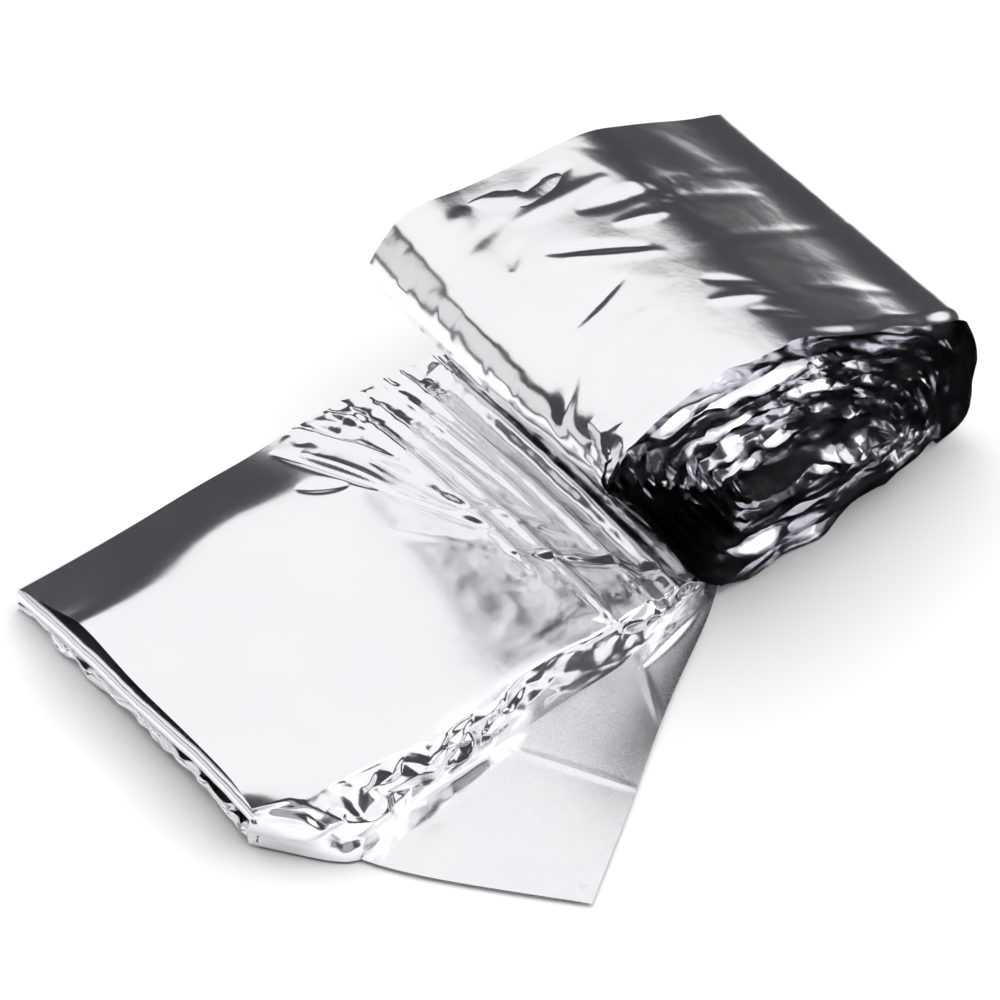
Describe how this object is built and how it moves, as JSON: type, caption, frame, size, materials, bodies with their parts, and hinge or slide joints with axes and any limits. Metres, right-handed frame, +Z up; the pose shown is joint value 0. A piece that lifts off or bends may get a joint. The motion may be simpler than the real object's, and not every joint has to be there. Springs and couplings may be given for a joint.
{
  "type": "emergency foil blanket",
  "caption": "Silver film rescue blanket folded into a band, wound into an arched bundle, with its loose end and one corner laid out flat.",
  "frame": {"origin": "bottom centre of the whole blanket as it lies", "axes": "+X runs along the folded band from its loose end to the bundle, +Z is up, and the free corner points to -Y"},
  "size_m": [0.1994, 0.1422, 0.064],
  "materials": {
    "foil": "bright silver metallised film, finely crinkled"
  },
  "bodies": {
    "root": {"foil_blanket": "foil"}
  },
  "joints": []
}
